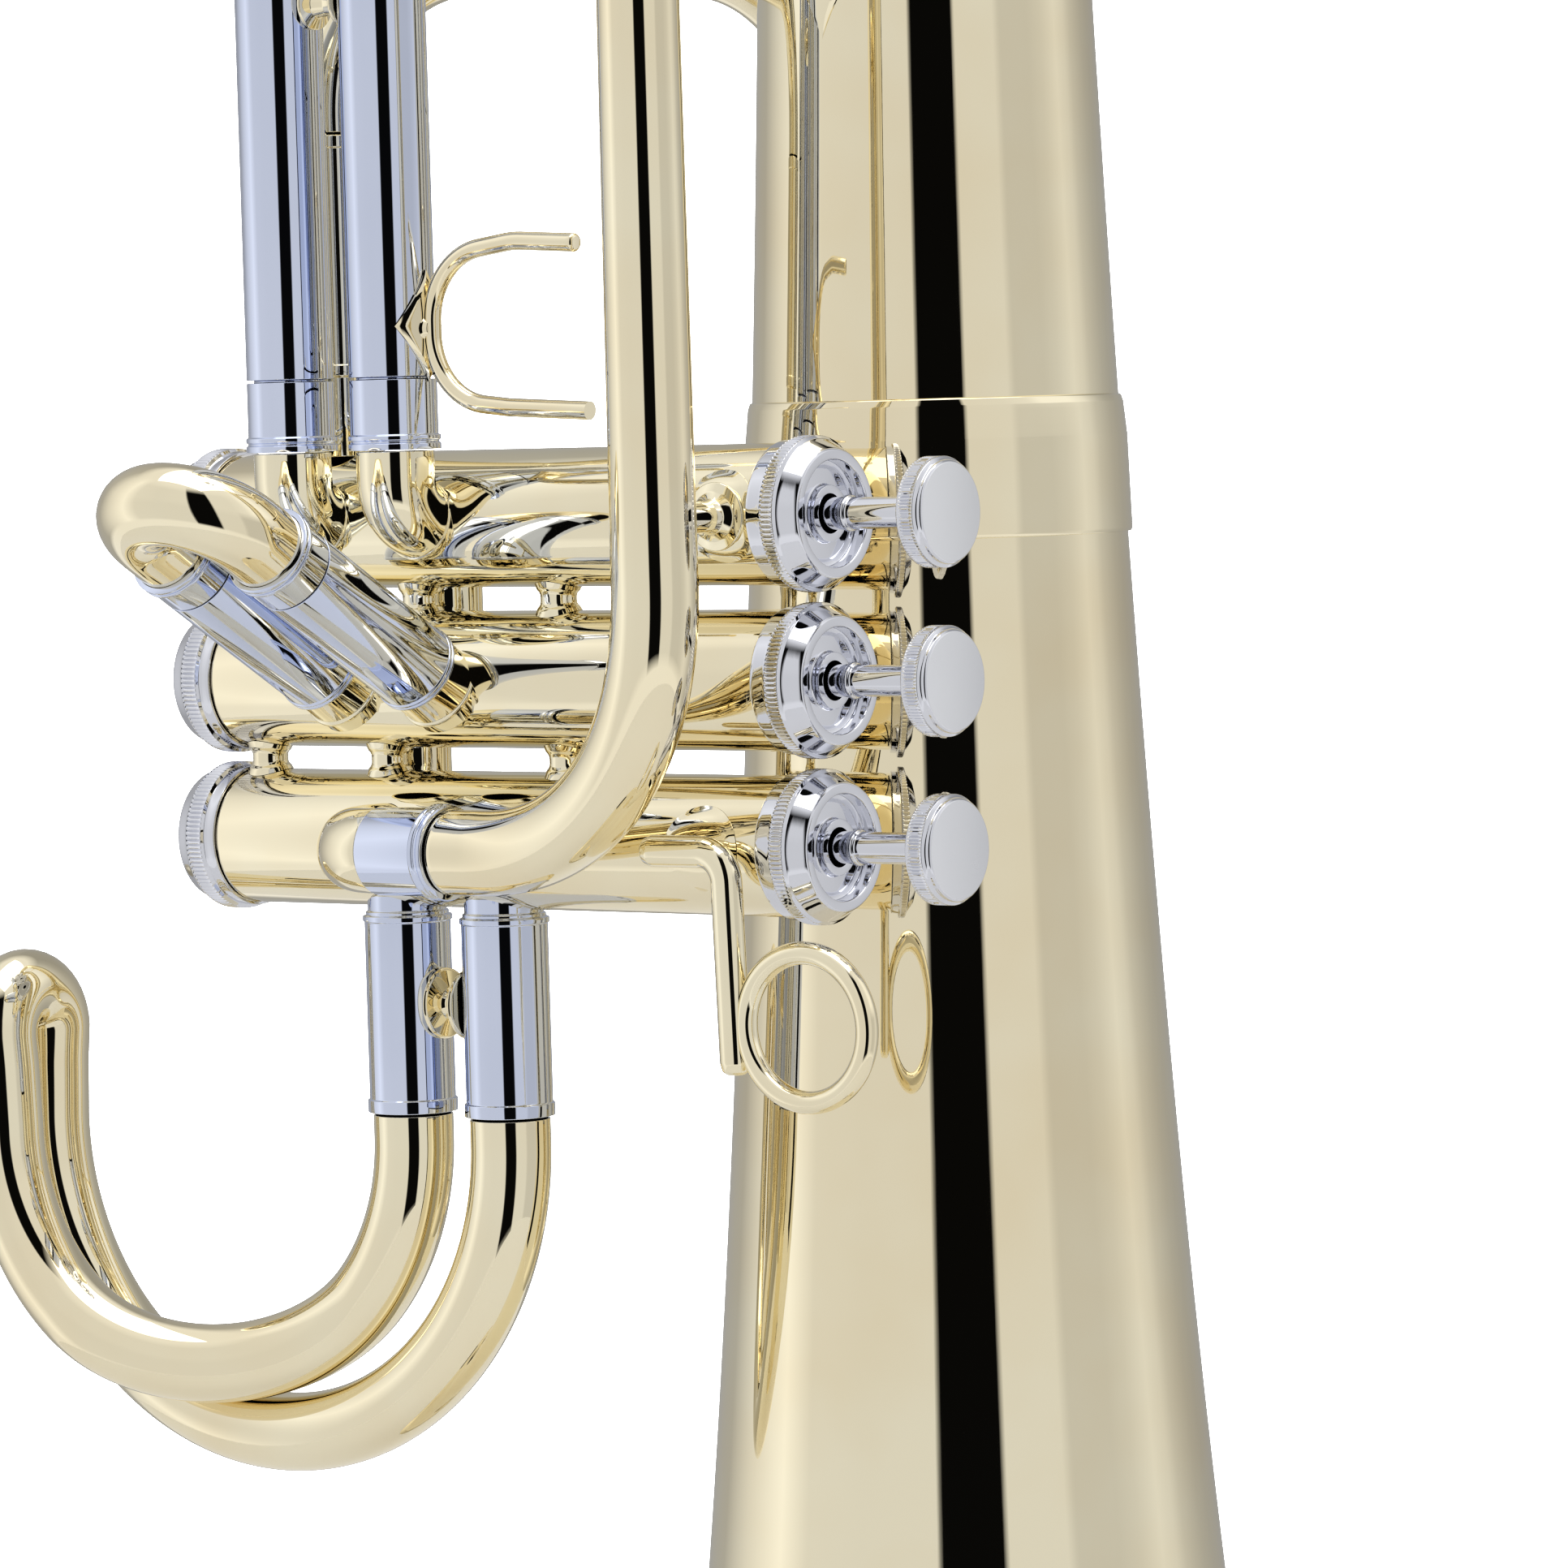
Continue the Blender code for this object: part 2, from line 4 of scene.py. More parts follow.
import bmesh
import bpy
import numpy as np
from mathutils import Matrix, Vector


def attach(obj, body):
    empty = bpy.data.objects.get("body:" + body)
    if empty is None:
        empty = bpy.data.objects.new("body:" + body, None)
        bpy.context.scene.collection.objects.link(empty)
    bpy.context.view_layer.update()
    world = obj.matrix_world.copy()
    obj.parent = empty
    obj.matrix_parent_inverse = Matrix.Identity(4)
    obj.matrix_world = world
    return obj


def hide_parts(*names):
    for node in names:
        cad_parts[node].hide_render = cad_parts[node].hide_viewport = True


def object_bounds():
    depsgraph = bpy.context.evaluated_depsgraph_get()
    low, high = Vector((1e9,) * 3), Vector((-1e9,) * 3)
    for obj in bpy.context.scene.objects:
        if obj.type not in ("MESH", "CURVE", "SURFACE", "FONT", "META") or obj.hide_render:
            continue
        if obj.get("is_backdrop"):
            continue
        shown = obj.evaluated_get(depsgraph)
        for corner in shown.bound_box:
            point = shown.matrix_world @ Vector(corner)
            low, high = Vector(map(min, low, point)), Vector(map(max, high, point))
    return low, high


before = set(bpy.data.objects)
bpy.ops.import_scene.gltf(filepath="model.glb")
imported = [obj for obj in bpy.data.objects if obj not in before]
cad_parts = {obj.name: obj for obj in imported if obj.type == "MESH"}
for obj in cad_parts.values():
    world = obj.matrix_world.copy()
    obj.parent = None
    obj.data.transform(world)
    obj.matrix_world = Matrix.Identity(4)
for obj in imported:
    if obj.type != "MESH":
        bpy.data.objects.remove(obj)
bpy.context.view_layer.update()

# ---------------------------------------------------------------------------
# Valve casings. Three drawn brass tubes, lacquered, soldered side by side;
# their axes run along X, with the finger buttons at the +X end.
# ---------------------------------------------------------------------------

# mm, from the valve group (X = 0 at the caps' rims, Z = 0 at the middle valve)
GROUP_TO_STAND = np.array([51.916, -57.525, 420.0])
VALVES = {1: 30.5, 2: 0.0, 3: -30.5}
X_DIR, Z_DIR = (1.0, 0.0, 0.0), (0.0, 0.0, 1.0)


def eased(outline, radius=0.25, steps=3):
    """The outline with each corner replaced by a parabola that starts and ends radius away, or
    half an edge where that is less: B(t) = (1-t)^2 a + 2t(1-t) corner + t^2 b."""
    points = np.asarray(outline, float)
    before, after = np.roll(points, 1, 0) - points, np.roll(points, -1, 0) - points
    far_b = np.linalg.norm(before, axis=1, keepdims=True) + 1e-9
    far_a = np.linalg.norm(after, axis=1, keepdims=True) + 1e-9
    a = points + before / far_b * np.minimum(radius, far_b * 0.45)
    b = points + after / far_a * np.minimum(radius, far_a * 0.45)
    t = np.linspace(0, 1, steps + 1)[None, :, None]
    curve = (1 - t) ** 2 * a[:, None] + 2 * t * (1 - t) * points[:, None] + t ** 2 * b[:, None]
    keep = points[:, 0] <= 1e-6
    curve[keep] = points[keep][:, None]
    return curve.reshape(-1, 2)


def closer(outline, step):
    """A closed outline with long edges divided so that no edge is longer than step along it."""
    points = np.asarray(outline, float)
    after = np.roll(points, -1, 0)
    count = np.maximum(1, np.ceil(np.abs(after[:, 1] - points[:, 1]) / step).astype(int))
    which = np.repeat(np.arange(len(points)), count)
    first = np.repeat(np.cumsum(count) - count, count)
    part = ((np.arange(len(which)) - first) / count[which])[:, None]
    return points[which] * (1 - part) + after[which] * part


def route(corners, bends, step=0.8):
    """A path through corners, each rounded to an arc of its bend radius: for a turn of angle
    w, the arc starts r tan(w/2) before the corner and turns by w about its centre."""
    corners = [np.asarray(c, float) for c in corners]
    out = [corners[0][None]]
    for a, c, b, r in zip(corners[:-2], corners[1:-1], corners[2:], bends):
        u, v = (a - c) / np.linalg.norm(a - c), (b - c) / np.linalg.norm(b - c)
        turn = math.pi - math.acos(float(np.clip(u @ v, -1, 1)))
        back = r * math.tan(turn / 2)
        start, side = c + u * back, v + u * math.cos(turn)
        side = side / np.linalg.norm(side)
        w = np.linspace(0, turn, max(8, int(r * turn / step)))[:, None]
        out.append(start + side * r * (1 - np.cos(w)) - u * r * np.sin(w))
    out.append(corners[-1][None])
    return np.concatenate(out)


def carried(name, outline, path, sides=72, step=400.0, ease=0.25, ripple=None, turn=None):
    """A round section carried along a path. The closed outline is (radius, distance along the
    path); the point at angle q and outline step k is P(s) + r (cos q N + sin q B), where N and
    B are the path's own side directions, turned no more than the path turns."""
    path = np.asarray(path, float)
    keep = np.r_[True, np.linalg.norm(np.diff(path, axis=0), axis=1) > 1e-6]
    path = path[keep]
    far = np.r_[0, np.cumsum(np.linalg.norm(np.diff(path, axis=0), axis=1))]
    ahead = np.gradient(path, far, axis=0) if len(path) > 2 else np.repeat(
        (path[1] - path[0])[None] / far[-1], 2, 0)
    ahead /= np.linalg.norm(ahead, axis=1, keepdims=True)
    ahead[0] = (path[1] - path[0]) / far[1]
    ahead[-1] = (path[-1] - path[-2]) / (far[-1] - far[-2])
    side = [np.cross(ahead[0], (0.31, 0.17, 0.94) if abs(ahead[0][2]) < 0.9 else (1.0, 0.0, 0.1))]
    for direction in ahead[1:]:
        side.append(side[-1] - direction * (side[-1] @ direction))
    side = np.asarray(side)
    side /= np.linalg.norm(side, axis=1, keepdims=True)
    line = closer(eased(outline, ease) if ease else outline, step)
    if turn is not None:
        line = turn(line)
    radius, along = line[:, 0], line[:, 1]

    def between(values):
        inside = np.stack([np.interp(along, far, values[:, i]) for i in range(3)], 1)
        return inside

    place, tangent, normal = between(path), between(ahead), between(side)
    tangent /= np.linalg.norm(tangent, axis=1, keepdims=True)
    beyond = (along - np.clip(along, far[0], far[-1]))[:, None]
    place = place + tangent * beyond
    normal -= tangent * (normal * tangent).sum(1, keepdims=True)
    normal /= np.linalg.norm(normal, axis=1, keepdims=True)
    cross = np.cross(tangent, normal)
    q = np.arange(sides) * 2 * math.pi / sides
    radius = radius[:, None] * np.ones(sides)
    if ripple is not None:
        radius = radius + ripple(line, q)
    grid = (place[:, None] + radius[..., None] * (np.cos(q)[None, :, None] * normal[:, None]
                                                 + np.sin(q)[None, :, None] * cross[:, None]))
    return surface(name, grid, line)


def surface(name, grid, line, wrap=True):
    """A closed mesh from a grid of points, in mm, wrapped both ways, with a UV map that runs
    round the section and along the outline in metres."""
    rows, cols = grid.shape[:2]
    points = (grid.reshape(-1, 3) + GROUP_TO_STAND) * 0.001
    i, j = np.meshgrid(np.arange(rows), np.arange(cols), indexing="ij")
    i2, j2 = (i + 1) % rows, (j + 1) % cols
    quads = np.stack([i * cols + j, i * cols + j2, i2 * cols + j2, i2 * cols + j], -1)
    quads = quads.reshape(-1, 4)
    mesh = bpy.data.meshes.new(name)
    mesh.vertices.add(len(points))
    mesh.vertices.foreach_set("co", points.astype(np.float32).ravel())
    mesh.loops.add(quads.size)
    mesh.loops.foreach_set("vertex_index", quads.astype(np.int32).ravel())
    mesh.polygons.add(len(quads))
    mesh.polygons.foreach_set("loop_start", np.arange(0, quads.size, 4, dtype=np.int32))
    mesh.update(calc_edges=True)
    run = np.r_[0, np.cumsum(np.linalg.norm(np.diff(line, axis=0), axis=1))] * 0.001
    u = np.stack([j, j + 1, j + 1, j], -1) / cols
    v = np.stack([run[i], run[i], run[i2], run[i2]], -1)
    uv = mesh.uv_layers.new(name="along")
    uv.data.foreach_set("uv", np.stack([u, v], -1).astype(np.float32).ravel())
    shape = bmesh.new()
    shape.from_mesh(mesh)
    bmesh.ops.remove_doubles(shape, verts=shape.verts, dist=2e-7)
    bmesh.ops.dissolve_degenerate(shape, dist=1e-8, edges=shape.edges)
    bmesh.ops.recalc_face_normals(shape, faces=shape.faces)
    if shape.calc_volume(signed=True) < 0:
        bmesh.ops.reverse_faces(shape, faces=shape.faces)
    shape.to_mesh(mesh)
    shape.free()
    mesh.shade_smooth()
    mesh.set_sharp_from_angle(angle=math.radians(38))
    piece = bpy.data.objects.new(name, mesh)
    bpy.context.scene.collection.objects.link(piece)
    return piece


def straight(origin, axis, length=400.0):
    """A straight path from origin along axis."""
    start = np.asarray(origin, float)
    return np.stack([start, start + np.asarray(axis, float) * length])


def polished(name, pale, deep, haze, scratch, coat):
    """A polished metal: its colour drifts between pale and deep over some centimetres, its
    roughness clouds where it has been handled, and fine hairlines and a slight unevenness
    from the drawn tube go through its bump."""
    made = bpy.data.materials.new(name)
    made.use_nodes = True
    nodes, links = made.node_tree.nodes, made.node_tree.links
    shader = nodes["Principled BSDF"]
    shader.inputs["Metallic"].default_value = 1.0
    shader.inputs["Coat Weight"].default_value = coat
    shader.inputs["Coat Roughness"].default_value = 0.03
    shader.inputs["Coat IOR"].default_value = 1.5
    place = nodes.new("ShaderNodeTexCoord")

    def clouds(scale, detail, stretch=(1, 1, 1), rough=0.5):
        squeeze = nodes.new("ShaderNodeMapping")
        squeeze.inputs["Scale"].default_value = stretch
        links.new(place.outputs["Object"], squeeze.inputs["Vector"])
        noise = nodes.new("ShaderNodeTexNoise")
        noise.inputs["Scale"].default_value = scale
        noise.inputs["Detail"].default_value = detail
        noise.inputs["Roughness"].default_value = rough
        links.new(squeeze.outputs["Vector"], noise.inputs["Vector"])
        return noise

    tone = nodes.new("ShaderNodeValToRGB")
    tone.color_ramp.elements[0].position = 0.32
    tone.color_ramp.elements[0].color = (*deep, 1)
    tone.color_ramp.elements[1].position = 0.62
    tone.color_ramp.elements[1].color = (*pale, 1)
    links.new(clouds(22, 3).outputs["Fac"], tone.inputs["Fac"])
    links.new(tone.outputs["Color"], shader.inputs["Base Color"])
    film = nodes.new("ShaderNodeMapRange")
    film.inputs["From Min"].default_value = 0.4
    film.inputs["From Max"].default_value = 0.75
    film.inputs["To Min"].default_value = haze[0]
    film.inputs["To Max"].default_value = haze[1]
    links.new(clouds(48, 6, rough=0.62).outputs["Fac"], film.inputs["Value"])
    links.new(film.outputs["Result"], shader.inputs["Roughness"])
    wave = nodes.new("ShaderNodeBump")
    wave.inputs["Strength"].default_value = 0.05
    wave.inputs["Distance"].default_value = 0.0004
    links.new(clouds(60, 1, (1, 1, 0.4)).outputs["Fac"], wave.inputs["Height"])
    lines = nodes.new("ShaderNodeBump")
    lines.inputs["Strength"].default_value = scratch
    lines.inputs["Distance"].default_value = 0.00002
    links.new(clouds(900, 3, (1, 1, 0.06)).outputs["Fac"], lines.inputs["Height"])
    links.new(wave.outputs["Normal"], lines.inputs["Normal"])
    links.new(lines.outputs["Normal"], shader.inputs["Normal"])
    return made


LACQUERED_BRASS = polished("lacquered_brass", (0.93, 0.86, 0.66), (0.9, 0.8, 0.58),
                           (0.012, 0.04), 0.05, 0.10)
NICKEL_SILVER = polished("nickel_silver", (0.70, 0.75, 0.90), (0.66, 0.71, 0.86),
                         (0.012, 0.05), 0.05, 0.0)
TURNED_NICKEL = polished("turned_nickel", (0.76, 0.77, 0.82), (0.71, 0.72, 0.77),
                         (0.012, 0.05), 0.05, 0.0)
SATIN_NICKEL = polished("satin_nickel", (0.86, 0.87, 0.90), (0.82, 0.83, 0.87),
                        (0.20, 0.28), 0.12, 0.0)


def put(piece, material, body, *nodes, slot="lacquered_brass"):
    """Gives a finished piece its metal and its body, and hides the plain solids it stands for."""
    piece.data.materials.clear()
    piece.data.materials.append(material)
    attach(piece, body)
    if nodes:
        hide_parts(*nodes)
    return piece


for number, z in VALVES.items():
    put(carried(f"casing_tube_{number}", [(13.06, 0), (13.06, 130.9), (11.76, 130.9), (11.76, 0)],
                straight((-141.7, 0, z), X_DIR), 128), LACQUERED_BRASS, "horn",
        f"valve_casing_{number}")

# ---------------------------------------------------------------------------
# Valve caps, pistons, stems and finger buttons. Turned nickel-silver; caps and
# buttons carry a rolled straight knurl, and the button faces are satin.
# ---------------------------------------------------------------------------


def knurl(low, high, teeth, depth):
    """Ridges round a band between two distances along the axis: the radius gains
    depth (|sin(teeth q / 2)| - 0.5), fading to nothing at the band's edges."""

    def add(line, q):
        inside = np.clip(np.minimum(line[:, 1] - low, high - line[:, 1]) / 0.2, 0, 1)
        inside = inside * (line[:, 0] > 9.7)
        return -inside[:, None] * depth * (1 - np.abs(np.sin(teeth * q / 2)))[None]

    return add


CAP = [(13.6, -10.5), (13.6, -7.2), (14.35, -6.9), (14.35, -4.0), (13.7, -3.5), (11.9, -0.25),
       (11.6, 0), (10.0, 0), (9.8, -0.3), (9.8, -3.0), (8.9, -3.2), (8.3, -2.9), (5.5, -2.9),
       (5.2, -2.6), (5.2, -1.2), (3.65, -1.2), (3.65, -6.4), (11.9, -6.4), (11.9, -10.5)]
FOOT_CAP = [(13.6, -142), (13.6, -144.4), (14.35, -144.8), (14.35, -148.4), (13.7, -149),
            (12.6, -152), (10.6, -152), (10.2, -151.4), (4.2, -151.4), (3.8, -152), (3, -152),
            (3, -150.4), (11.9, -150.4), (11.9, -142)]
for number, z in VALVES.items():
    home = straight((0, 0, z), X_DIR)
    cap = carried(f"top_cap_knurled_{number}", CAP, home, 384, 0.6, 0.14,
                  knurl(-6.9, -4.0, 96, 0.45))
    put(cap, TURNED_NICKEL, "horn", f"top_cap_{number}", slot="nickel_silver")
    foot = carried(f"bottom_cap_knurled_{number}", FOOT_CAP, home, 384, 0.8, 0.14,
                   knurl(-148.4, -144.8, 96, 0.45))
    put(foot, TURNED_NICKEL, "horn", f"bottom_cap_{number}", slot="nickel_silver")
    body = f"valve_{number}"
    piston = carried(f"piston_wall_{number}", [(0, -30), (11.2, -30), (11.2, -120), (10.4, -120),
                                               (10.4, -32), (0, -32)], home, 96)
    put(piston, NICKEL_SILVER, body, f"piston_{number}", slot="nickel_silver")
    stem = carried(f"stem_rod_{number}", [(0, -29.7), (6, -29.7), (6, -27), (3.0, -26), (3.0, 2.6),
                                          (3.35, 2.9), (3.35, 3.6), (2.9, 4.0), (2.9, 19.7),
                                          (0, 19.7)], home, 64)
    put(stem, TURNED_NICKEL, body, f"valve_stem_{number}", slot="nickel_silver")
    button = carried(f"button_disc_{number}", [(0, 20.0), (8.6, 20.0), (9.5, 20.3), (10.1, 20.8),
                                               (10.1, 24.3), (9.7, 24.6), (9.4, 24.9),
                                               (9.4, 25.4), (9.0, 25.8), (0, 25.8)],
                     home, 384, 0.6, 0.12, knurl(20.9, 24.2, 100, 0.38))
    put(button, TURNED_NICKEL, body, f"finger_button_{number}", slot="nickel_silver")
    button.data.materials.append(SATIN_NICKEL)
    shape = bmesh.new()
    shape.from_mesh(button.data)
    for face in shape.faces:
        centre = face.calc_center_median() * 1000
        if face.normal.x > 0.9 and centre.x > GROUP_TO_STAND[0] + 25.5:
            face.material_index = 1
    shape.to_mesh(button.data)
    shape.free()

# ---------------------------------------------------------------------------
# Ties between the casings: short turned spools and the windway links, brass,
# silver-soldered with a small fillet where they meet the tubes.
# ---------------------------------------------------------------------------


def tie(name, radii, centre, low, high, node):
    """A short post between two casings. Each end's ring is carried down to the casing: at
    sideways distance y from its axis the end lies at sqrt(R^2 - y^2)."""
    sides = 96
    t = np.linspace(0, 1, len(radii))
    q = np.arange(sides) * 2 * math.pi / sides
    r = np.interp(np.linspace(0, 1, 41), t, radii)
    y = centre[1] + r[:, None] * np.sin(q)[None]
    x = centre[0] + r[:, None] * np.cos(q)[None]
    reach = np.sqrt(np.maximum(13.1 ** 2 - y ** 2, 5.0 ** 2))
    bottom, top = low + reach, high - reach
    z = bottom + (top - bottom) * np.linspace(0, 1, 41)[:, None]
    grid = np.stack([x, y, z], -1)
    cap_low = np.repeat(np.array([[centre[0], centre[1], grid[0, :, 2].mean()]]), sides, 0)[None]
    cap_high = np.repeat(np.array([[centre[0], centre[1], grid[-1, :, 2].mean()]]), sides, 0)[None]
    grid = np.concatenate([cap_low, grid, cap_high])
    line = np.stack([np.zeros(len(grid)), np.linspace(0, 10, len(grid))], 1)
    put(surface(name, grid, line), LACQUERED_BRASS, "horn", node)


SPOOL = [4.5, 4.3, 4.1, 3.7, 3.5, 3.45, 3.45, 3.45, 3.5, 3.7, 4.1, 4.3, 4.5]
for name, x, low, high, node in (
        ("spool_a", -98.4, 0.0, 30.5, "spacer_12_a"), ("spool_b", -64.6, 0.0, 30.5, "spacer_12_b"),
        ("spool_c", -137.6, -30.5, 0.0, "spacer_23_a"),
        ("spool_d", -107.4, -30.5, 0.0, "spacer_23_b"),
        ("spool_e", -63.6, -30.5, 0.0, "spacer_23_c")):
    tie(name, SPOOL, (x, -1.0), low, high, node)
LINK = [6.8, 6.6, 6.6, 6.6, 6.8]
tie("windway_a", LINK, (-101.0, 10.5), 0.0, 30.5, "windway_link_12")
tie("windway_b", LINK, (-110.0, 10.5), -30.5, 0.0, "windway_link_23")

# ---------------------------------------------------------------------------
# First valve slide. Brass knuckles from the casing, nickel-silver ferrules with
# fixed inner tubes, and nickel sleeves that slide over them to a brass crook.
# ---------------------------------------------------------------------------

FIRST_X, FIRST_Y = {"a": -88.0, "b": -113.4}, -19.5


def tube(name, path, radius, wall=0.55, collar=None, step=1.2, start=0.0, sides=72):
    """A drawn tube along a path: outer radius, wall, and an optional solder collar
    (distance, length, height) that stands out as a ring."""
    far = float(np.linalg.norm(np.diff(path, axis=0), axis=1).sum())
    line = [(radius, start), (radius, far), (radius - wall, far), (radius - wall, start)]
    if collar:
        at, length, high = collar
        line = [(radius, start), (radius, at), (radius + high, at), (radius + high, at + length),
                (radius, at + length), (radius, far), (radius - wall, far), (radius - wall, start)]
    return carried(name, line, path, sides, step, 0.2)


for key, x in FIRST_X.items():
    knee = route([(x, -10.6, 30.5), (x, FIRST_Y, 30.5), (x, FIRST_Y, 43.8)], [8.2])
    put(tube(f"first_knuckle_{key}", knee, 7.4, collar=(1.9, 0.9, 0.35)), LACQUERED_BRASS, "horn",
        f"first_elbow_{key}")
    inner = [(8.3, 57.2), (8.3, 46.9), (8.75, 46.7), (8.75, 45.9), (8.4, 45.7), (8.4, 45.4),
             (8.75, 45.2), (8.75, 44.0), (6.35, 44.0), (6.35, 118), (6.9, 118), (6.9, 57.2)]
    put(carried(f"first_ferrule_{key}", inner, straight((x, FIRST_Y, 0), Z_DIR), 96, ease=0.15),
        NICKEL_SILVER, "horn", f"first_inner_{key}", slot="nickel_silver")
    sleeve = [(8.3, 57.7), (8.3, 147.6), (8.7, 147.8), (8.7, 150), (7.75, 150), (7.75, 57.7)]
    put(carried(f"first_outer_{key}", sleeve, straight((x, FIRST_Y, 0), Z_DIR), 96, ease=0.15),
        NICKEL_SILVER, "first_slide", f"first_sleeve_{key}", slot="nickel_silver")
crook = route([(-88, FIRST_Y, 150.3), (-88, FIRST_Y, 185), (-113.4, FIRST_Y, 185),
               (-113.4, FIRST_Y, 150.3)], [12.69, 12.69])
put(tube("first_bow", crook, 7.7), LACQUERED_BRASS, "first_slide", "first_crook")
tie_bar = [(0, 0), (4.8, 0), (4.8, 0.6), (2.6, 1.5), (2.2, 4.0), (2.6, 6.6), (4.8, 7.5), (4.8, 8.1),
           (0, 8.1)]
put(carried("first_tie", tie_bar, straight((-104.75, FIRST_Y, 128), X_DIR), 72),
    LACQUERED_BRASS, "first_slide", "first_brace")

# ---------------------------------------------------------------------------
# Thumb saddle. Half-round brass bar bent to a U and soldered through a post to
# a diamond plate on the first slide's sleeve.
# ---------------------------------------------------------------------------


def saddle_plate(name, hub, radius, facing, half_height, half_width, thick, material, body):
    """A diamond wrapped on a tube of that radius about a Z axis through hub: at height h the
    half width is half_width (1 - |h|)^1.3 of the full, laid off as an arc; the edge thins out."""
    h = np.linspace(-1, 1, 41)
    s = np.linspace(-1, 1, 25)
    width = half_width * (1 - np.abs(h)) ** 1.25 + 0.02
    bend = (s[None] * width[:, None]) / radius
    rim = np.clip(4 * (1 - np.abs(s)), 0, 1)[None] * np.clip(5 * (1 - np.abs(h)), 0, 1)[:, None]
    outer = radius + 0.3 + thick * (0.35 + 0.65 * rim)
    z = hub[2] + h[:, None] * half_height * np.ones(len(s))

    def shell(r):
        angle = facing + bend
        return np.stack([hub[0] + r * np.cos(angle), hub[1] + r * np.sin(angle), z], -1)

    top, under = shell(outer), shell(np.full_like(outer, radius + 0.08))
    ring = np.concatenate([top, under[:, ::-1]], 1)
    ends = [np.repeat(ring[k].mean(0)[None], ring.shape[1], 0)[None] for k in (0, -1)]
    grid = np.concatenate([ends[0], ring, ends[1]])
    line = np.stack([np.zeros(len(grid)), np.linspace(0, 2 * half_height, len(grid))], 1)
    piece = surface(name, grid, line)
    put(piece, material, body)
    return piece


saddle_plate("thumb_plate", (-88.0, FIRST_Y, 67), 8.3, 0.0, 10.4, 6.6, 0.9, LACQUERED_BRASS,
             "first_slide")
loop = route([(-43.0, FIRST_Y, 81.2), (-58, FIRST_Y, 82.1), (-78, FIRST_Y, 79.5),
              (-78, FIRST_Y, 53.4), (-60, FIRST_Y, 51.4), (-41.0, FIRST_Y, 50.4)],
             [20, 13.5, 13.5, 16], 0.6)
bar = carried("thumb_bar", [(0, 0), (1.3, 0), (1.75, 0.5), (1.75, 200), (0, 200)], loop, 40, 0.8, 0.2,
              turn=lambda line: np.stack([line[:, 0], np.minimum(
                  line[:, 1], np.linalg.norm(np.diff(loop, axis=0), axis=1).sum())], 1))
put(bar, LACQUERED_BRASS, "first_slide", "thumb_saddle")
put(carried("thumb_post", [(0, 0), (3.4, 0), (2.4, 1.0), (2.0, 2.0), (0, 2.0)],
            straight((-79.5, FIRST_Y, 66.4), X_DIR), 48), LACQUERED_BRASS, "first_slide")

# ---------------------------------------------------------------------------
# Second valve slide. It leans out of the middle casing towards the player's
# hand side: brass stubs, nickel sleeves with a double ring, and a brass bow.
# ---------------------------------------------------------------------------

SECOND_X = {"a": -84.6, "b": -108.1}
LEAN = np.array([0.0, -0.866, 0.5])


def leaning(x, t):
    """The point t mm along the slide's axis, which runs 8.3 mm below the valve's own."""
    return np.array([x, 0, -8.3]) + LEAN * t


for key, x in SECOND_X.items():
    stub = [(7.9, 11.5), (7.9, 14.4), (8.35, 14.6), (8.35, 15.3), (7.9, 15.5), (7.9, 21.4),
            (8.0, 21.8), (7.2, 21.8), (7.2, 11.5)]
    put(carried(f"second_stub_{key}", stub, straight(leaning(x, 0), LEAN), 96, ease=0.15),
        LACQUERED_BRASS, "horn", f"second_sleeve_{key}")
    outer = [(8.3, 21.9), (8.6, 22.0), (8.6, 22.5), (8.35, 22.6), (8.35, 22.8), (8.6, 22.9),
             (8.6, 23.4), (8.3, 23.6), (8.3, 61.8), (7.75, 61.8), (7.75, 21.9)]
    put(carried(f"second_outer_{key}", outer, straight(leaning(x, 0), LEAN), 96, ease=0.15),
        NICKEL_SILVER, "horn", slot="nickel_silver")
    ferrule = [(8.3, 62.1), (8.3, 67.6), (8.75, 67.8), (8.75, 68.5), (8.4, 68.6), (8.4, 68.9),
               (8.75, 69.0), (8.75, 69.8), (7.75, 70.0), (7.75, 62.1)]
    put(carried(f"second_ferrule_{key}", ferrule, straight(leaning(x, 0), LEAN), 96, ease=0.15),
        NICKEL_SILVER, "second_slide", slot="nickel_silver")
bow = route([leaning(-84.6, 26), leaning(-84.6, 87.7), leaning(-108.1, 87.7),
             leaning(-108.1, 26)], [11.74, 11.74])
far = float(np.linalg.norm(np.diff(bow, axis=0), axis=1).sum())
line = [(6.9, 0), (6.9, 36.2), (7.7, 36.6), (7.7, far - 36.6), (6.9, far - 36.2), (6.9, far),
        (6.35, far), (6.35, 0)]
put(carried("second_bow", line, bow, 72, 1.2, 0.15), LACQUERED_BRASS, "second_slide",
    "second_crook")

# ---------------------------------------------------------------------------
# Third valve slide. Two nickel sleeves below the third casing, tied by a turned
# brace, hold the brass crook, which swings wide under the casings' feet.
# ---------------------------------------------------------------------------

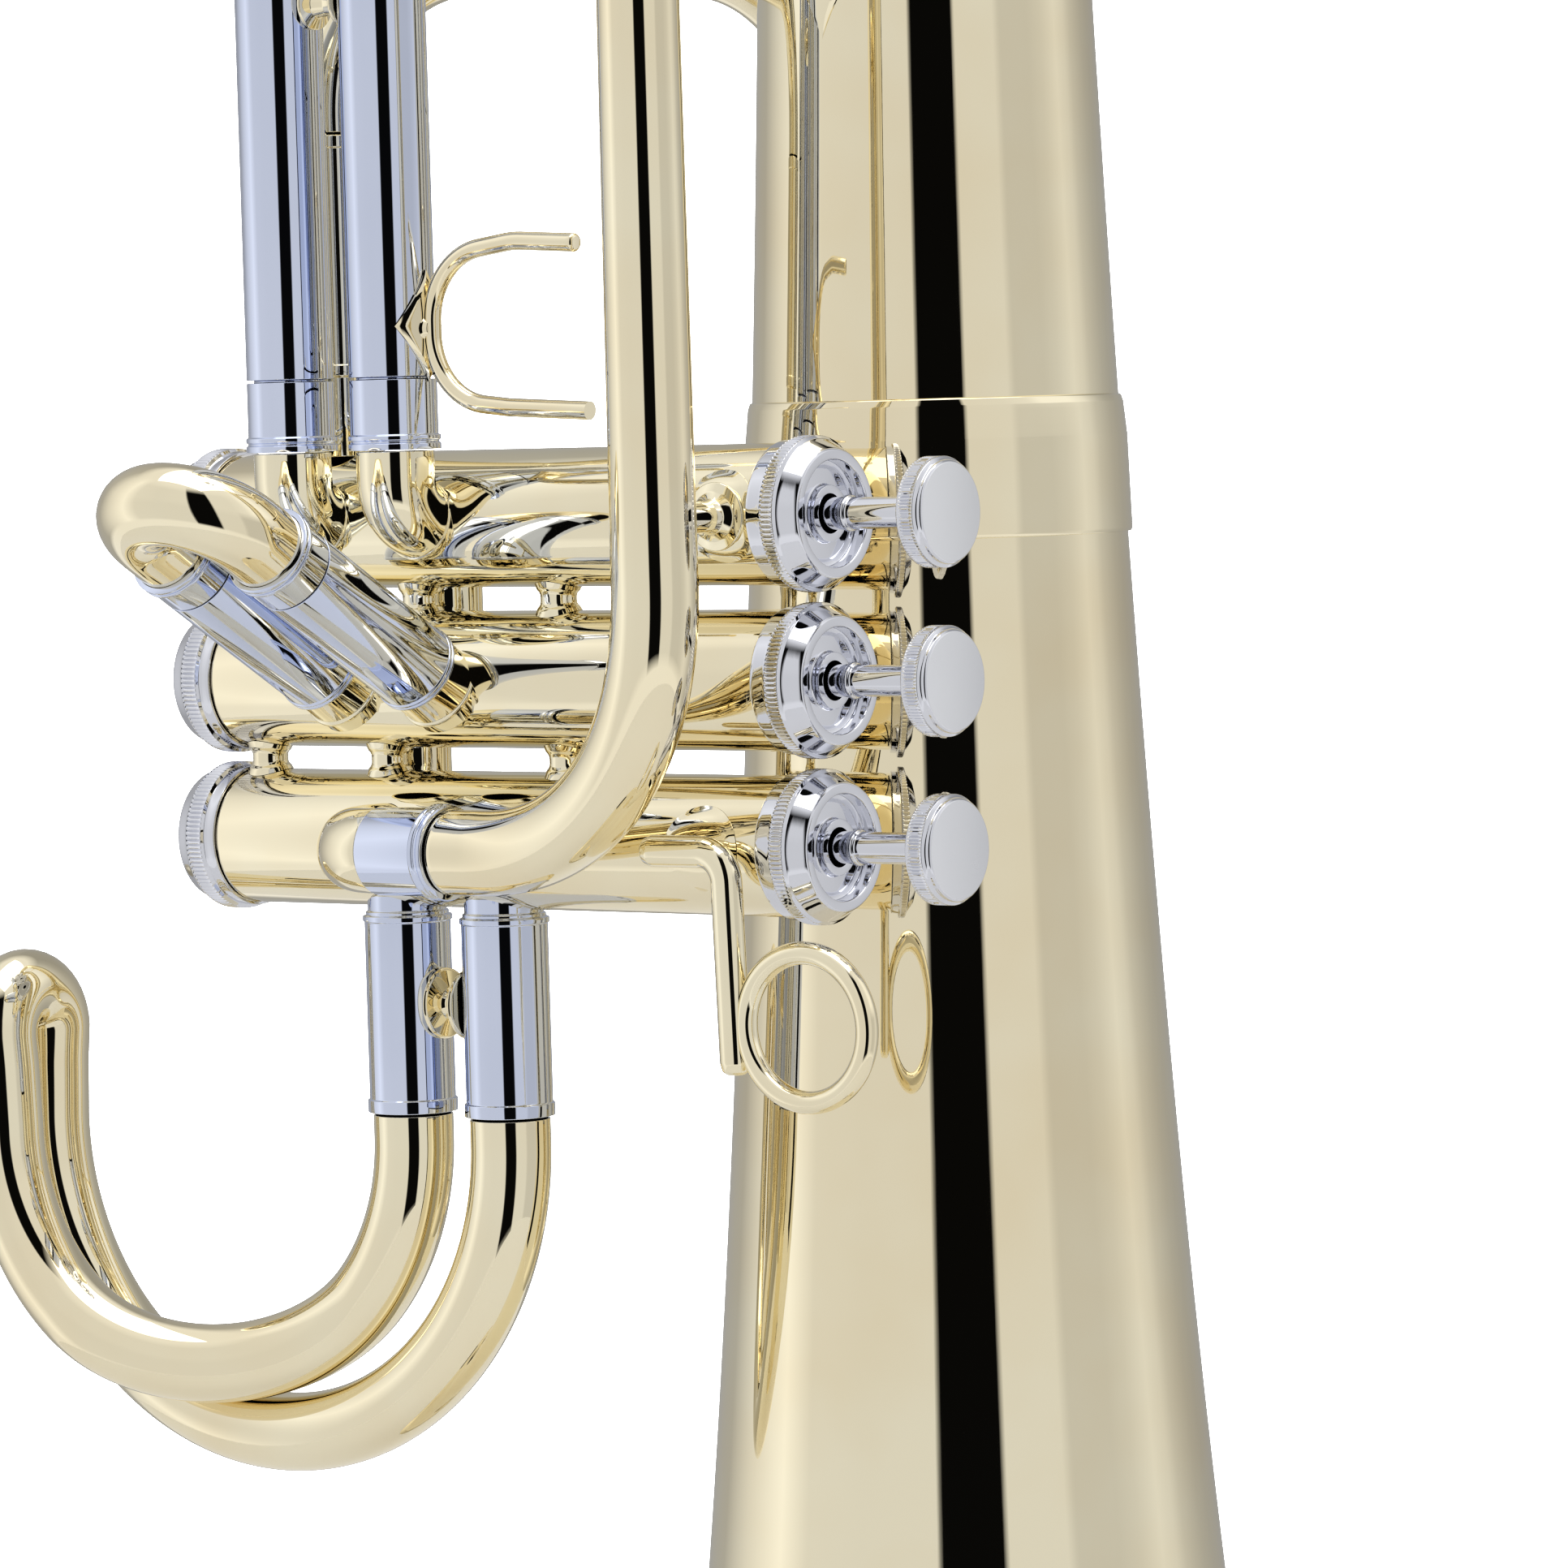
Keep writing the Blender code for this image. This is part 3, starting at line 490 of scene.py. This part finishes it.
THIRD_X = {"a": -81.0, "b": -105.0}
for key, x in THIRD_X.items():
    line = [(7.6, -41.2), (7.6, -44.2), (8.0, -44.4), (8.0, -45.0), (8.6, -45.2), (8.6, -46.2),
            (8.3, -46.4), (8.3, -80.4), (8.65, -80.6), (8.65, -83), (7.75, -83), (7.75, -46),
            (7.0, -45.4), (7.0, -41.2)]
    put(carried(f"third_outer_{key}", line, straight((x, 0, 0), Z_DIR), 96, ease=0.15),
        NICKEL_SILVER, "horn", f"third_sleeve_{key}", slot="nickel_silver")
tie_bar = [(0, 0), (6.4, 0), (6.9, 0.5), (6.4, 1.0), (3.0, 1.6), (2.4, 2.4), (2.4, 4.6), (3.0, 5.4),
           (6.4, 6.0), (6.9, 6.5), (6.4, 7.0), (0, 7.0)]
put(carried("third_tie", tie_bar, straight((-96.5, 0, -62), X_DIR), 96, ease=0.2),
    LACQUERED_BRASS, "horn", "third_brace")


def smooth(t):
    """3t^2 - 2t^3 between 0 and 1."""
    t = np.clip(t, 0, 1)
    return t * t * (3 - 2 * t)


w = np.linspace(0, math.pi, 120)
inner = np.stack([-150.5 + 45.5 * np.cos(w), -17.4 * smooth((w - 0.75) / 1.5),
                  -88 - 45.5 * np.sin(w)], 1)
outer = np.stack([-140.5 + 59.5 * np.cos(w), 0 * w, -88 - 59.5 * np.sin(w)], 1)
u = np.linspace(0, math.pi, 40)
join = np.stack([-198.0 - 2 * (1 - np.cos(u)) / 2 + 1.0, -8.7 - 8.7 * np.cos(u),
                 -70 + 8.7 * np.sin(u)], 1)
sweep = np.concatenate([[(-105, 0, -56)], [(-105, 0, -87.5)], inner, [(-196.5, -17.4, -76)], join,
                        [(-199.6, 0, -76)], outer[::-1], [(-81, 0, -87.5)], [(-81, 0, -56)]])
far = float(np.linalg.norm(np.diff(sweep, axis=0), axis=1).sum())
line = [(6.9, 0), (6.9, 27.2), (7.7, 27.6), (7.7, far - 27.6), (6.9, far - 27.2), (6.9, far),
        (6.35, far), (6.35, 0)]
put(carried("third_sweep", line, sweep, 72, 1.2, 0.15), LACQUERED_BRASS, "third_slide",
    "third_crook")

# ---------------------------------------------------------------------------
# Leadpipe. A tapered brass tube from the mouthpiece receiver past the first
# casing, bent round to a nickel ferrule and a knuckle into the third casing.
# ---------------------------------------------------------------------------

w = np.linspace(0, math.pi / 2, 90)
bend = np.stack([-65 + 50 * np.cos(w), -35 + 10 * smooth(w / (math.pi / 2)), 19 - 50 * np.sin(w)], 1)
lead = np.concatenate([[(-15, -35, 260)], [(-15, -35, 140)], [(-15, -35, 60)], bend,
                       [(-72.6, -25, -31)]])
far = float(np.linalg.norm(np.diff(lead, axis=0), axis=1).sum())
line = [(6.9, 0), (7.4, 120), (7.75, 200), (7.95, 245), (7.95, far), (7.4, far), (7.4, 245),
        (6.9, 130), (6.35, 0)]
put(carried("lead_tube", line, lead, 96, 1.2, 0.15), LACQUERED_BRASS, "horn", "leadpipe")
line = [(8.3, 0), (8.3, 13.1), (8.5, 13.3), (8.9, 13.5), (9.15, 14.0), (8.9, 14.5), (8.6, 14.7),
        (8.6, 15.2), (8.9, 15.4), (9.15, 15.9), (8.9, 16.4), (7.4, 16.6), (7.4, 0)]
put(carried("lead_ferrule", line, straight((-89.6, -25, -31), X_DIR), 96, ease=0.12),
    NICKEL_SILVER, "horn", "leadpipe_ferrule", slot="nickel_silver")
knee = route([(-89.9, -25, -31), (-100.4, -25, -31), (-100.4, -10.6, -31)], [9.4])
put(tube("lead_knuckle", knee, 8.0), LACQUERED_BRASS, "horn", "inlet_elbow")
line = [(7.0, 260.4), (9.2, 260.6), (9.5, 261.4), (9.5, 263.4), (9.1, 264.2), (8.6, 265),
        (8.8, 280), (9.2, 294), (9.9, 294.6), (10.2, 295.4), (10.2, 299), (9.6, 300), (6.6, 300),
        (6.2, 274), (6.2, 260.4)]
put(carried("receiver_tube", line, straight((-15, -35, 0), Z_DIR), 96, ease=0.2), NICKEL_SILVER,
    "horn", "mouthpiece_receiver", slot="nickel_silver")
post = [(0, 0), (6.3, 0), (6.3, 0.7), (4.6, 1.2), (3.2, 2.2), (2.9, 3.6), (2.9, 11.4), (3.4, 12.6),
        (4.6, 13.6), (0, 13.6)]
put(carried("lead_post", post, straight((-17.2, -13.3, 30.5), (0, -1, 0)), 72, ease=0.2),
    LACQUERED_BRASS, "horn", "leadpipe_brace")

# ---------------------------------------------------------------------------
# Mouthpiece. Turned and silver-plated: a shank that slips into the receiver, a
# waist, and a cup with a rounded rim for the lips.
# ---------------------------------------------------------------------------

SILVER_PLATE = polished("silver_plate", (0.90, 0.90, 0.89), (0.86, 0.86, 0.85), (0.015, 0.06),
                        0.05, 0.0)
line = [(5.3, 277), (6.1, 303), (6.3, 308), (6.9, 311), (7.0, 313), (6.9, 315), (9.6, 319.5),
        (12.4, 326), (14.4, 332), (15.6, 339), (16.2, 345), (18.4, 347.2), (19.3, 349.4),
        (19.2, 351.4), (18.2, 353), (16.4, 353.5), (14.6, 353.1), (13.2, 351.8), (12.6, 349),
        (12.1, 343), (10.4, 334), (7.2, 328), (3.8, 323.5), (3.1, 320), (3.3, 314), (4.6, 277)]
put(carried("mouthpiece_cup", line, straight((-15, -35, 0), Z_DIR), 160, ease=1.2), SILVER_PLATE,
    "mouthpiece_piece", "mouthpiece", slot="silver_plate")

# ---------------------------------------------------------------------------
# Finger ring. A cast brass hook soldered to the third casing's near side, with
# a round ring brazed to its foot for a finger of the playing hand.
# ---------------------------------------------------------------------------

hook = route([(-32.4, -18.2, -30.4), (-13.8, -18.2, -30.4), (-13.8, -16.6, -71.2)], [5.5], 0.5)
far = float(np.linalg.norm(np.diff(hook, axis=0), axis=1).sum())
line = [(0, 0), (1.6, 0.05), (2.5, 0.7), (2.95, 2.2), (2.95, 14), (2.95, far - 2.4),
        (2.5, far - 0.7), (1.6, far - 0.05), (0, far)]
put(carried("ring_hook", line, hook, 64, 0.7, 0.3), LACQUERED_BRASS, "horn", "finger_ring")
w = np.linspace(0, 2 * math.pi, 161)[:-1]
q = np.linspace(0, 2 * math.pi, 33)[:-1]
hoop = np.stack([2.6 + (13.6 + 2.1 * np.cos(q)[None]) * np.cos(w)[:, None],
                 -16.8 + 2.1 * np.sin(q)[None] * np.ones(len(w))[:, None],
                 -62 + (13.6 + 2.1 * np.cos(q)[None]) * np.sin(w)[:, None]], -1)
put(surface("ring_hoop", hoop, np.stack([0 * w, w * 13.6], 1)), LACQUERED_BRASS, "horn")


def casing_flange(name, centre_x, valve_z, half_x, half_z, high, facing=-1.0):
    """An oval flange on a casing's near side: over the unit disc its height over the casing is
    high (1 - d^4), and each point sits at sqrt(R^2 - z^2) from the casing's axis."""
    d = np.linspace(0, 1, 17)
    q2 = np.linspace(0, 2 * math.pi, 65)[:-1]
    x = centre_x + half_x * d[:, None] * np.cos(q2)[None]
    dz = half_z * d[:, None] * np.sin(q2)[None]
    reach = np.sqrt(13.08 ** 2 - dz ** 2)
    lift = high * np.maximum(1 - d ** 6, 0.18)[:, None]
    top = np.stack([x, facing * (reach + lift), valve_z + dz], -1)
    low = np.stack([x, facing * (reach + 0.02), valve_z + dz], -1)
    grid = np.concatenate([top, low[::-1]])
    return surface(name, grid, np.stack([np.zeros(34), np.linspace(0, 20, 34)], 1))


put(casing_flange("ring_flange", -23.5, -30.5, 8.5, 8.0, 0.7), LACQUERED_BRASS, "horn")
put(casing_flange("post_flange", -17.2, 30.5, 8.5, 8.5, 0.6), LACQUERED_BRASS, "horn")

# ---------------------------------------------------------------------------
# Main tuning slide and branches. Brass tubes that widen from the first casing
# to the bell: sleeve, slide, descending branch, bow, ascending branch, bow.
# ---------------------------------------------------------------------------

LEG_1, LEG_2 = np.array([-117.0, 0, 0]), np.array([-75.0, 103.5, 0])
ACROSS = (LEG_2 - LEG_1) / np.linalg.norm(LEG_2 - LEG_1)
line = [(7.7, 42.8), (7.7, 58), (8.9, 58.2), (8.9, 60.2), (8.6, 60.4), (8.6, 101.6), (8.9, 101.8),
        (8.9, 104), (8.0, 104), (8.0, 60), (7.1, 59), (7.1, 42.8)]
put(carried("outlet_tube", line, straight(LEG_1, Z_DIR), 96, ease=0.2), LACQUERED_BRASS, "horn",
    "outlet_sleeve")
UP = np.array([0.0, 0.0, 1.0])
slide = route([LEG_1 + UP * 70, LEG_1 + UP * 139, LEG_2 + UP * 139, LEG_2 + UP * 70], [32, 32])
far = float(np.linalg.norm(np.diff(slide, axis=0), axis=1).sum())
line = [(7.3, 0), (7.3, 34.2), (8.0, 34.6), (8.0, far - 34.6), (7.3, far - 34.2), (7.3, far),
        (6.7, far), (6.7, 0)]
put(carried("tuning_bow", line, slide, 72, 1.4, 0.15), LACQUERED_BRASS, "main_tuning_slide",
    "tuning_slide")
line = [(9.0, 104), (9.0, 102), (8.9, 101.8), (8.9, 60.4), (9.4, 60.2), (9.4, 58), (8.4, 56),
        (11, -120), (10.4, -120), (7.8, 56), (8.0, 60), (8.0, 104)]
put(carried("falling_branch", line, straight(LEG_2, Z_DIR), 96, ease=0.2), LACQUERED_BRASS, "horn",
    "descending_branch")
RISE = np.array([-98.7, 164.3, 0])


def half_bow(a, b, level, up, reach=0.0):
    """Half a circle in the upright plane through a and b, with short straight ends."""
    middle, half = (a + b) / 2, np.linalg.norm(b - a) / 2
    out = (b - a) / np.linalg.norm(b - a)
    w = np.linspace(0, math.pi, 120)[:, None]
    arc = middle + UP * (level + up * 4) - out * half * np.cos(w) + UP * up * half * np.sin(w)
    return np.concatenate([[a + UP * level], arc, [b + UP * level]])


low_bow = half_bow(LEG_2, RISE, -120.4, -1)
far = float(np.linalg.norm(np.diff(low_bow, axis=0), axis=1).sum())
put(carried("low_bow", [(11, 0), (12, far), (11.4, far), (10.4, 0)], low_bow, 96, 1.4, 0.2),
    LACQUERED_BRASS, "horn", "bottom_bow")
put(carried("rising_branch", [(12, -120), (22, 239.6), (21.4, 239.6), (11.4, -120)],
            straight(RISE, Z_DIR), 128, ease=0.2), LACQUERED_BRASS, "horn", "ascending_branch")
BELL = np.array([-26.5, 68.7, 0])
top_bow = half_bow(RISE, BELL, 240, 1)
far = float(np.linalg.norm(np.diff(top_bow, axis=0), axis=1).sum())
put(carried("high_bow", [(22, 0), (28.2, far), (27.6, far), (21.4, 0)], top_bow, 128, 1.6, 0.2),
    LACQUERED_BRASS, "horn", "back_bow")

# ---------------------------------------------------------------------------
# Bell. One spun and hammered brass flare, burnished bright, its rim rolled over
# a wire, with a plain brass band where the tail joins the flare.
# ---------------------------------------------------------------------------

RIM_Z = -420.0


def flare(z):
    """Outer radius at height z: a horn curve b d^-g + c, with d the distance above the rim
    plus a short lead."""
    return -35.99 + 523.85 * (z - RIM_Z + 36.12) ** -0.3204


z = np.concatenate([np.linspace(239.6, -300, 90), np.linspace(-304, -415, 60)])
skin = np.stack([flare(z), z], 1)
roll = np.array([(128.4, -416.2), (129.6, -416.8), (130.0, -417.8), (130.0, -418.9),
                 (129.6, -419.7), (128.8, -420.0), (126.8, -420.0), (126.0, -419.6),
                 (125.7, -418.8)])
inside = skin[::-1] - np.array([0.7, 0.0])
line = np.concatenate([skin, roll, inside])
put(carried("bell_flare", line, straight(BELL, Z_DIR), 256, ease=0), LACQUERED_BRASS, "horn",
    "bell")
z = np.linspace(25.2, 49.4, 20)
outer_band = np.stack([np.interp(z, [25.2, 43, 46, 49.4], [37.3, 36.75, 36.45, 36.1]), z], 1)
line = np.concatenate([[(37.1, 24.5)], outer_band, [(35.7, 50.6), (35.1, 50.9)],
                       [(flare(50.0) + 0.12, 50.6), (flare(24.4) + 0.12, 24.4)]])
put(carried("bell_joint_band", line, straight(BELL, Z_DIR), 256, ease=0.12), LACQUERED_BRASS,
    "horn", "bell_band")
BACK = (BELL - RISE) / np.linalg.norm(BELL - RISE)


def strut(name, start, end, node, radius=2.4, foot=5.2):
    """A turned stay with a spread foot at each end."""
    start, end = np.asarray(start, float), np.asarray(end, float)
    length = float(np.linalg.norm(end - start))
    outline = [(0, 0), (foot, 0), (foot, 0.5), (radius + 0.6, 1.6), (radius, 3.2),
               (radius, length - 3.2), (radius + 0.6, length - 1.6), (foot, length - 0.5),
               (foot, length), (0, length)]
    put(carried(name, outline, straight(start, (end - start) / length, length), 48, ease=0.2),
        LACQUERED_BRASS, "horn", *([node] if node else []))


level = UP * -60
strut("lower_strut", BELL - BACK * (flare(-60) - 0.2) + level, RISE + BACK * 13.6 + level,
      "lower_stay")
level = UP * 150
strut("upper_strut", BELL - BACK * (flare(150) - 0.2) + level, RISE + BACK * 19.4 + level, None)
strut("casing_strut", (-40, 13.0, 0), (-40, 33.6, 0), "casing_stay", 2.4, 4.4)
strut("lead_strut", (-15.6, -27.4, 141), (-25.4, 37.4, 141), "bell_brace", 2.8, 3.6)
saddle_plate("bell_leaf", (BELL[0], BELL[1], 141), flare(138), -math.pi / 2 - 0.02, 22.5, 13.0,
             1.1, LACQUERED_BRASS, "horn")

# ---------------------------------------------------------------------------
# Water key. A small nickel lever on the tuning slide's crown that lifts a
# padded cup off its hole.
# ---------------------------------------------------------------------------

crown = (LEG_1 + LEG_2) / 2
lever = route([crown + ACROSS * t + UP * h for t, h in
               ((-23, 157.8), (-6, 153.9), (4, 152.9), (9.0, 152.0))], [12, 12], 0.5)
far = float(np.linalg.norm(np.diff(lever, axis=0), axis=1).sum())
line = [(0, 0), (1.7, 0.2), (2.1, 1.2), (1.7, 5), (1.6, far), (0, far)]
put(carried("key_lever", line, lever, 40, 0.8, 0.3), NICKEL_SILVER, "water_key_lever", "water_key",
    slot="nickel_silver")
cup = [(0, 147.5), (3.0, 147.5), (3.3, 148.2), (3.3, 150.6), (2.6, 152.0), (0, 152.6)]
put(carried("key_cup", cup, straight(crown + ACROSS * 9.4, Z_DIR), 48, ease=0.3), NICKEL_SILVER,
    "water_key_lever", slot="nickel_silver")
put(carried("key_post", [(0, 146.4), (3.2, 146.4), (2.2, 147.6), (2.0, 150.9), (0, 150.9)],
            straight(crown, Z_DIR), 40, ease=0.2), LACQUERED_BRASS, "main_tuning_slide")

# ---------------------------------------------------------------------------
# Floor, light and camera: a small pale disc to stand on, a bright studio all
# round, and the one dark gap that the polished tubes show as a stripe.
# ---------------------------------------------------------------------------

mesh = bpy.data.meshes.new("studio_floor")
disc = bmesh.new()
bmesh.ops.create_circle(disc, cap_ends=True, segments=96, radius=0.62)
disc.to_mesh(mesh)
disc.free()
floor = bpy.data.objects.new("studio_floor", mesh)
bpy.context.scene.collection.objects.link(floor)
paper = bpy.data.materials.new("white_paper")
paper.use_nodes = True
shader = paper.node_tree.nodes["Principled BSDF"]
shader.inputs["Base Color"].default_value = (0.86, 0.86, 0.86, 1)
shader.inputs["Roughness"].default_value = 0.9
mesh.materials.append(paper)
floor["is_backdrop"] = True

world = bpy.data.worlds.new("studio")
bpy.context.scene.world = world
world.use_nodes = True
nodes, links = world.node_tree.nodes, world.node_tree.links
coords = nodes.new("ShaderNodeTexCoord")
spin = nodes.new("ShaderNodeVectorRotate")
spin.rotation_type = "Z_AXIS"
spin.inputs["Angle"].default_value = -math.atan2(-0.79822, 0.60237)
links.new(coords.outputs["Generated"], spin.inputs["Vector"])
parts = nodes.new("ShaderNodeSeparateXYZ")
links.new(spin.outputs["Vector"], parts.inputs["Vector"])
bearing = nodes.new("ShaderNodeMath")
bearing.operation = "ARCTAN2"
links.new(parts.outputs["Y"], bearing.inputs[0])
links.new(parts.outputs["X"], bearing.inputs[1])
turns = nodes.new("ShaderNodeMapRange")
turns.inputs["From Min"].default_value = -math.pi
turns.inputs["From Max"].default_value = math.pi
links.new(bearing.outputs[0], turns.inputs["Value"])


def bearings(bands):
    """A grey ramp round the compass: each band is (degrees from the camera, brightness)."""
    ramp = nodes.new("ShaderNodeValToRGB")
    for degrees, _ in bands[1:-1]:
        ramp.color_ramp.elements.new((degrees + 180) / 360)
    for stop, (degrees, bright) in zip(ramp.color_ramp.elements, bands):
        stop.position = (degrees + 180) / 360
        stop.color = (bright, bright, bright, 1)
    links.new(turns.outputs["Result"], ramp.inputs["Fac"])
    return ramp


def blend(low, high, a, b):
    """Fades from a to b as the look direction's height goes from low to high."""
    height = nodes.new("ShaderNodeMapRange")
    height.inputs["From Min"].default_value = low
    height.inputs["From Max"].default_value = high
    links.new(parts.outputs["Z"], height.inputs["Value"])
    mix = nodes.new("ShaderNodeMix")
    mix.data_type = "RGBA"
    links.new(height.outputs["Result"], mix.inputs[0])
    links.new(a, mix.inputs[6])
    links.new(b, mix.inputs[7])
    return mix.outputs[2]


around = bearings([(-180, 0.38), (-140, 0.45), (-118, 0.75), (-93, 1.0), (-77, 0.76), (-50, 0.74),
                   (-13.4, 0.74), (-12.2, 0.006), (16.2, 0.006), (17.4, 0.74), (45, 0.74),
                   (50, 0.61), (72, 0.61), (83, 0.66), (97, 0.77), (107, 0.70), (114, 0.59),
                   (122, 0.52), (131, 0.455), (142, 0.41), (160, 0.38), (180, 0.38)])
upper = bearings([(-180, 0.40), (-140, 0.50), (-118, 0.80), (-93, 1.0), (-77, 0.79), (-50, 0.76),
                  (-13.4, 0.78), (-12.2, 0.006), (16.2, 0.006), (17.4, 0.78), (45, 0.78),
                  (63, 0.84), (73, 0.985), (95, 1.0), (108, 0.85), (115, 0.69), (123, 0.54),
                  (132, 0.43), (144, 0.37), (180, 0.38)])
plain = nodes.new("ShaderNodeRGB")
plain.outputs[0].default_value = (0.88, 0.88, 0.88, 1)
studio = blend(-0.52, -0.44, plain.outputs[0], around.outputs["Color"])
studio = blend(0.12, 0.34, studio, upper.outputs["Color"])
studio = blend(0.72, 0.86, studio, plain.outputs[0])
links.new(studio, nodes["Background"].inputs["Color"])
white = nodes.new("ShaderNodeBackground")
seen = nodes.new("ShaderNodeLightPath")
choice = nodes.new("ShaderNodeMixShader")
links.new(seen.outputs["Is Camera Ray"], choice.inputs["Fac"])
links.new(nodes["Background"].outputs["Background"], choice.inputs[1])
links.new(white.outputs["Background"], choice.inputs[2])
links.new(choice.outputs["Shader"], nodes["World Output"].inputs["Surface"])
white.inputs["Color"].default_value = (1, 1, 1, 1)
white.inputs["Strength"].default_value = 4.0

soft = bpy.data.lights.new("overhead_soft", "AREA")
soft.shape = "RECTANGLE"
soft.size, soft.size_y, soft.energy = 1.6, 1.6, 10
soft_box = bpy.data.objects.new("overhead_soft", soft)
bpy.context.scene.collection.objects.link(soft_box)
soft_box.location = (0.1, -0.1, 2.2)

camera = bpy.data.cameras.new("camera")
camera.sensor_width = 36.0
camera.lens = 36.0 * 8546.4 / 1932.0
camera.clip_start = 0.05
eye = bpy.data.objects.new("camera", camera)
bpy.context.scene.collection.objects.link(eye)
right = np.array([0.79869, 0.60110, -0.02795])
rise_dir = np.array([-0.01197, 0.06231, 0.99799])
right /= np.linalg.norm(right)
rise_dir -= right * (rise_dir @ right)
rise_dir /= np.linalg.norm(rise_dir)
back_dir = np.cross(right, rise_dir)
place = (np.array([753.044, -1015.289, 53.522]) + GROUP_TO_STAND) * 0.001
turned = np.eye(4)
turned[:3, 0], turned[:3, 1], turned[:3, 2], turned[:3, 3] = right, rise_dir, back_dir, place
eye.matrix_world = turned.T.tolist()
bpy.context.scene.camera = eye
bpy.context.scene.view_settings.view_transform = "Standard"
bpy.context.scene.view_settings.look = "Medium High Contrast"
bpy.context.scene.view_settings.exposure = -0.2

low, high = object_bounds()
